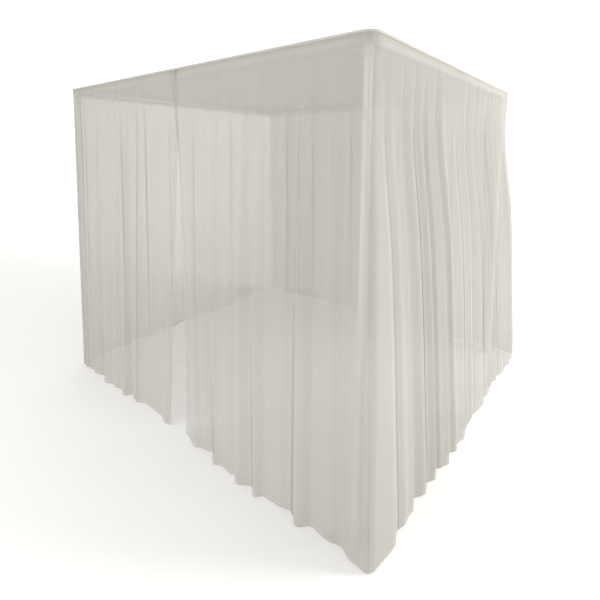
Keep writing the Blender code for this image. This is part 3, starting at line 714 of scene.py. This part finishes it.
def roofSheet():
    # Rings of the rounded outline that shrink to the middle. The height is level over the rails, then
    # a parabola of the way in, with a product of two sines as slack.
    level = roofShape["level"]
    middle = np.linspace(0.11, 0.97, roofShape["rings"])
    inward = np.concatenate([[0.0, 0.02, 0.04, 0.06, level], middle])
    loop = seamLoop(seamStations(turnSteps=7, runSteps=60), 0.0)
    centre = np.array([(left + right) / 2.0, (near + far) / 2.0])
    plan = centre + (loop - centre) * (1.0 - inward[:, None, None])
    spread = np.clip((1.0 - inward) / (1.0 - level), 0.0, 1.0)
    height = roofTop - roofShape["clear"] - roofShape["sag"] * (1.0 - spread ** 2)
    wave = np.sin(plan[..., 0] * 9.0 + plan[..., 1] * 4.0) * np.sin(plan[..., 1] * 11.0 - 1.0)
    loose = smoothStep((inward[:, None] - level) / roofShape["slackFrom"])
    lifted = height[:, None] + roofShape["slack"] * wave * loose
    points = np.concatenate([plan, lifted[..., None]], axis=-1)
    rows, columns = points.shape[:2]
    faces = gridFaces(rows, columns, True)[:, ::-1]
    points = np.concatenate([points.reshape(-1, 3), [[*centre, lifted[-1].mean()]]])
    fan = fanFaces(np.arange((rows - 1) * columns, rows * columns), len(points) - 1)
    made = meshPiece("netRoof", points, np.concatenate([faces, fan]), roofMaterial)
    writeLayers(made, np.ones(len(points)))
    writeUV(made, points[:, :2] + 10.0)      # in metres, and clear of the hem's stitches
    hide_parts("net_roof")
    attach(made, "root")


roofSheet()
for sheet in (nearHead, nearFoot, footNear, footFar, farWall, headWall):
    hungSheet(sheet)
print("net hung")

# The frame's tubes and fittings are turned or swept, each on the place and size of its node.
tubes = {
    "sides": 40, "postSteps": 12, "railSteps": 24, "elbowSteps": 20,
    "edge": 0.0012,           # rounding of a cut end
}


def lathe(profile, centre, sides):
    # rows of radius and height, bottom to top, turned round an upright axis; the first and the last
    # row lie on it
    radius, height = np.array(profile, float).T
    around = np.arange(sides) / sides * 2.0 * np.pi
    rings = np.stack([
        centre[0] + radius[1:-1, None] * np.cos(around),
        centre[1] + radius[1:-1, None] * np.sin(around),
        np.broadcast_to(height[1:-1, None], (len(radius) - 2, sides)),
    ], axis=-1)
    return closedTube(rings, [[*centre, height[0]], [*centre, height[-1]]])


def roundEdge(radius, height, size, fromAngle, toAngle, steps=5):
    # arc of a rounded edge: a circle of this size round the point at this radius and height
    angle = np.radians(np.linspace(fromAngle, toAngle, steps))
    return np.stack([radius + size * np.cos(angle), height + size * np.sin(angle)], -1).tolist()


def sweepRound(path, radius, sides):
    # a circle across a level path, carried along it
    ahead = np.gradient(path, axis=0)
    ahead /= np.linalg.norm(ahead, axis=1)[:, None]
    side = np.stack([ahead[:, 1], -ahead[:, 0], np.zeros(len(path))], -1)
    up = np.array([0.0, 0.0, 1.0])
    around = np.arange(sides) / sides * 2.0 * np.pi
    ring = side[:, None] * np.cos(around)[:, None] + up * np.sin(around)[:, None]
    return closedTube(path[:, None] + ring * radius, path[[0, -1]])


def joined(parts):
    # several shapes as one set of points and faces
    points, faces, count = [], [], 0
    for partPoints, partFaces in parts:
        points.append(partPoints)
        faces.append(partFaces + count)
        count += len(partPoints)
    return np.concatenate(points), np.concatenate(faces)


def standFor(piece, slot, *nodes):
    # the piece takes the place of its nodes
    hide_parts(*nodes)
    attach(piece, "root")


def tubeProfile(node):
    # a straight wall between two rounded ends, as large as the node's box
    low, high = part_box(node)
    rounding, steps = tubes["edge"], tubes["postSteps"]
    radius = (high[0] - low[0]) / 2.0
    centre = ((low[0] + high[0]) / 2.0, (low[1] + high[1]) / 2.0)
    profile = [(0.0, low[2])]
    profile += roundEdge(radius - rounding, low[2] + rounding, rounding, -90.0, 0.0)
    profile += [(radius, low[2] + (high[2] - low[2]) * k / steps) for k in range(1, steps)]
    profile += roundEdge(radius - rounding, high[2] - rounding, rounding, 0.0, 90.0)
    return profile + [(0.0, high[2])], centre, radius


collar = {
    "rim": 0.005,             # rounding of its lower edge
    "skirt": 0.010,           # height of its straight part
    "shoulder": 0.012,        # rounding above it
    "neck": [(0.0085, 0.009), (0.009, 0.0055)],    # in from the skirt, and down from the top
    "lip": 0.0022,            # rounding of its upper edge
    "lipOut": 0.0015,         # the rounding's centre lies this far outside the tube
}
footCap = {
    "rim": 0.0015,            # rounding of its lower edge
    "drum": 0.0045,           # height of its straight part
    "shoulder": 0.003,        # rounding above it
    "shoulderDown": 0.0045,   # the rounding's centre lies this far under the top
    "lip": [(0.0024, 0.001), (0.00285, 0.0)],      # in from the drum, and down from the top
}


def framePost(corner):
    # two stacked tubes, and the collar and foot cap that are turned round the same axis
    sides, posts = tubes["sides"], []
    for node in ("lower_post_" + corner, "upper_post_" + corner):
        profile, centre, tube = tubeProfile(node)
        posts.append(lathe(profile, centre, sides))
    made = meshPiece("postTubes." + corner, *joined(posts), steelMaterial)
    standFor(made, "frame_steel", "lower_post_" + corner, "upper_post_" + corner)

    # the collar is a bell: a full rounded skirt below, drawn in to a soft lip round the upper tube
    low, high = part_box("collar_" + corner)
    radius, rim = (high[0] - low[0]) / 2.0, collar["rim"]
    shoulder, lip = collar["shoulder"], collar["lip"]
    bell = [(0.0, low[2])] + roundEdge(radius - rim, low[2] + rim, rim, -90.0, 0.0)
    bell += [(radius, low[2] + collar["skirt"])]
    bell += roundEdge(radius - shoulder, low[2] + shoulder, shoulder, 8.0, 62.0)
    bell += [(radius - inside, high[2] - under) for inside, under in collar["neck"]]
    bell += roundEdge(tube + collar["lipOut"], high[2] - lip, lip, 20.0, 90.0)
    bell += [(0.0, high[2])]

    # the foot cap is a low drum with a rounded shoulder and a thin lip round the lower tube
    low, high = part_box("foot_cap_" + corner)
    radius, rim, shoulder = (high[0] - low[0]) / 2.0, footCap["rim"], footCap["shoulder"]
    cap = [(0.0, low[2])] + roundEdge(radius - rim, low[2] + rim, rim, -90.0, 0.0)
    cap += [(radius, low[2] + footCap["drum"])]
    cap += roundEdge(radius - shoulder, high[2] - footCap["shoulderDown"], shoulder, 0.0, 60.0)
    cap += [(radius - inside, high[2] - under) for inside, under in footCap["lip"]]
    cap += [(0.0, high[2])]
    parts = [lathe(bell, centre, sides), lathe(cap, centre, sides)]
    made = meshPiece("postFittings." + corner, *joined(parts), plasticMaterial)
    standFor(made, "frame_plastic", "collar_" + corner, "foot_cap_" + corner)


def frameRail(name):
    # a tube along the node's longest side
    low, high = map(np.array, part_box(name))
    axis = int(np.argmax(high - low))
    steps = tubes["railSteps"]
    path = np.repeat((low + high)[None, :] / 2.0, steps, axis=0)
    path[:, axis] = np.linspace(low[axis], high[axis], steps)
    tube = sweepRound(path, (high[2] - low[2]) / 2.0, tubes["sides"])
    made = meshPiece(name + ".tube", *tube, steelMaterial)
    standFor(made, "frame_steel", name)


socket = {
    "radius": 0.018,
    "dome": 0.0125,           # rise of its rounded head above the rails' axes
    "groove": 0.0009,         # depth of the groove between its two beads
    "lowBead": (0.006, 0.007),      # the groove begins between these heights above the lower rim
    "highBead": (0.012, 0.008),     # and ends between these depths under the rails' axes
}


def cornerFitting(corner, endRail, sideRail, endSide, sideSide):
    # a level elbow, a quarter circle between the ends of two rails, on a domed socket over the post
    node = "corner_fitting_" + corner
    low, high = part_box(node)
    side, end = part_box(sideRail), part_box(endRail)
    arcX, arcY = side[sideSide][0], end[endSide][1]
    railX, railY = (end[0][0] + end[1][0]) / 2.0, (side[0][1] + side[1][1]) / 2.0
    level = (side[0][2] + side[1][2]) / 2.0
    bend = abs(arcX - railX)
    angle = np.linspace(0.0, np.pi / 2.0, tubes["elbowSteps"])
    outX, outY = math.copysign(bend, railX - arcX), math.copysign(bend, railY - arcY)
    path = np.stack([
        arcX + outX * np.sin(angle), arcY + outY * np.cos(angle), np.full(len(angle), level),
    ], -1)
    if outX * outY < 0.0:
        path = path[::-1]
    elbow = sweepRound(path, high[2] - level, tubes["sides"])

    # the socket: a rounded rim, a groove between two beads, and a dome over the rails' axes
    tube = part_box("upper_post_" + corner)
    centre = ((tube[0][0] + tube[1][0]) / 2.0, (tube[0][1] + tube[1][1]) / 2.0)
    radius, dome, rim = socket["radius"], socket["dome"], tubes["edge"]
    profile = [(0.0, low[2])] + roundEdge(radius - rim, low[2] + rim, rim, -90.0, 0.0)
    groove = radius - socket["groove"]
    profile += [(out, low[2] + over) for out, over in zip((radius, groove), socket["lowBead"])]
    profile += [(out, level - under) for out, under in zip((groove, radius), socket["highBead"])]
    rise = np.linspace(0.0, np.pi / 2.0, 9)[:-1]
    profile += [(radius * math.cos(t), level + dome * math.sin(t)) for t in rise]
    profile += [(0.0, level + dome)]
    parts = [elbow, lathe(profile, centre, tubes["sides"])]
    made = meshPiece("cornerElbow." + corner, *joined(parts), plasticMaterial)
    standFor(made, "frame_plastic", node)


tape = {
    "clear": 0.0003,          # between the walls and its inner face
    "lowEdge": (0.0004, 0.0006),    # how much is cut off its edges, across and along
    "highEdge": (0.0005, 0.0008),
    "groove": 0.0002,         # depth of the groove along its middle
    "grooveAt": (0.3, 0.5, 0.7),    # the groove's sides and bottom, as shares of the height
}


def seamTape():
    # a flat section with blunt edges and a shallow groove, carried round the net's top
    low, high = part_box("net_binding")
    inner = canopy["solidSheet"] / 2.0 + tape["clear"]
    outer = left - low[0]
    tall = high[2] - low[2]
    (lowIn, lowUp), (highIn, highDown) = tape["lowEdge"], tape["highEdge"]
    below, bottom, above = tape["grooveAt"]
    section = np.array([
        (inner, 0.0), (outer - lowIn, 0.0), (outer, lowUp), (outer, tall * below),
        (outer - tape["groove"], tall * bottom), (outer, tall * above), (outer, tall - highDown),
        (outer - highIn, tall), (inner, tall),
    ])
    stations = seamStations(turnSteps=9, runSteps=50)
    plan = np.stack([seamLoop(stations, out) for out, _ in section])
    height = np.broadcast_to((low[2] + section[:, 1])[:, None, None], plan.shape[:2] + (1,))
    points = np.concatenate([plan, height], axis=-1)
    rows, columns = points.shape[:2]
    faces = gridFaces(rows + 1, columns, True)[:, ::-1] % (rows * columns)
    made = meshPiece("seamTape", points.reshape(-1, 3), faces, tapeMaterial)
    # UV in metres: round the net, and round the section
    steps = np.linalg.norm(np.diff(plan[2], axis=0, append=plan[2][:1]), axis=1)
    across = np.append(0.0, np.cumsum(steps)[:-1])
    girth = np.append(0.0, np.cumsum(np.linalg.norm(np.diff(section, axis=0), axis=1)))
    shape = (rows, columns)
    uv = np.stack([np.broadcast_to(across, shape), np.broadcast_to(girth[:, None], shape)], -1)
    writeUV(made, uv.reshape(-1, 2))
    standFor(made, "bound_edge", "net_binding")


# each corner's end rail and side rail, and which end of each meets it: 0 the low one, 1 the high one
cornerEnds = {
    "head_near": ("rail_head", "rail_near", 0, 0), "foot_near": ("rail_foot", "rail_near", 0, 1),
    "foot_far": ("rail_foot", "rail_far", 1, 1), "head_far": ("rail_head", "rail_far", 1, 0),
}
for corner, ends in cornerEnds.items():
    framePost(corner)
    cornerFitting(corner, *ends)
for name in ("rail_near", "rail_far", "rail_head", "rail_foot"):
    frameRail(name)
seamTape()
print("frame dressed")

# A plain white floor that sweeps up behind, three soft lamps and an even sky.
studio = {
    "floorColour": "fbfaf8", "floorRadius": 9.0, "sweep": 3.0, "sweepSteps": 17,
    "wallHeight": 6.0, "sides": 96,
    "sky": 0.865,
    "key": {"at": (6.2, 3.5, 2.5), "aim": (1.0, 0.25, 1.15), "size": 2.6, "power": 425.0},
    "fill": {"at": (0.0, -4.85, 1.3), "aim": (0.6, -0.9, 0.75), "size": 2.0, "power": 56.0},
    "backdrop": {"at": (-4.5, 3.5, 5.0), "aim": (-9.0, 2.5, 1.5), "size": 3.0, "power": 45.0},
}
view = {
    "at": (2.971, -1.402, 1.574),    # from the net's head near corner, and above the floor
    "yaw": 131.06, "pitch": -5.89,   # degrees: heading from +X, and above level
    "lens": 25.31, "shift": (0.0688, -0.176),
}


def sweptStage():
    # a floor, a quarter circle and a wall as one profile, turned round Z and closed in the middle
    radius, bend, sides = studio["floorRadius"], studio["sweep"], studio["sides"]
    turn = np.linspace(0.0, np.pi / 2.0, studio["sweepSteps"])
    out = np.concatenate([[0.02, 2.0, 5.0], radius - bend + bend * np.sin(turn), [radius]])
    up = np.concatenate([[0.0, 0.0, 0.0], bend - bend * np.cos(turn), [studio["wallHeight"]]])
    around = np.arange(sides) / sides * 2.0 * np.pi
    points = np.stack([
        out[:, None] * np.cos(around), out[:, None] * np.sin(around),
        np.broadcast_to(up[:, None], (len(out), sides)),
    ], -1)
    points = np.concatenate([points.reshape(-1, 3), [[0.0, 0.0, 0.0]]])
    fan = fanFaces(np.arange(sides), len(points) - 1)
    faces = np.concatenate([gridFaces(len(out), sides, True), fan])
    # Matt paint, rolled on: no gloss, so the floor stays even and pale
    material, tree = startMaterial("matt studio floor")
    paint = addNode(
        tree, "ShaderNodeBsdfPrincipled",
        values={
            "Base Color": linearColour(studio["floorColour"]),
            "Roughness": 0.9, "Specular IOR Level": 0.1,
        },
    )
    addNode(tree, "ShaderNodeOutputMaterial", links={"Surface": paint.outputs[0]})
    meshPiece("studioFloor", points, faces, material)


def areaLight(name, light):
    # a soft round lamp, turned from its place to what it is aimed at
    lamp = bpy.data.lights.new(name, "AREA")
    lamp.shape = "DISK"
    lamp.size = light["size"]
    lamp.energy = light["power"]
    holder = bpy.data.objects.new(name, lamp)
    bpy.context.scene.collection.objects.link(holder)
    ray = np.array(light["aim"]) - np.array(light["at"])
    tilt = math.acos(-ray[2] / np.linalg.norm(ray))
    holder.location = light["at"]
    holder.rotation_euler = (tilt, 0.0, math.atan2(ray[1], ray[0]) - math.pi / 2.0)


sweptStage()
for name in ("key", "fill", "backdrop"):
    areaLight(name + "Light", studio[name])
world = bpy.data.worlds.new("softSky")
world.use_nodes = True
world.node_tree.nodes["Background"].inputs["Color"].default_value = (1.0, 1.0, 1.0, 1.0)
world.node_tree.nodes["Background"].inputs["Strength"].default_value = studio["sky"]
scene = bpy.context.scene
scene.world = world
scene.view_settings.view_transform = "Standard"
scene.cycles.transparent_max_bounces = 32      # many sheets of net lie behind each other
scene.cycles.sample_clamp_indirect = 1.5       # keeps light through the net from sparkling

camera = bpy.data.cameras.new("camera")
camera.lens = view["lens"]
camera.shift_x, camera.shift_y = view["shift"]
stand = bpy.data.objects.new("camera", camera)
stand.location = (left + view["at"][0], near + view["at"][1], view["at"][2])
stand.rotation_euler = (math.radians(90.0 + view["pitch"]), 0.0, math.radians(view["yaw"] - 90.0))
scene.collection.objects.link(stand)
scene.camera = stand
print("studio ready")
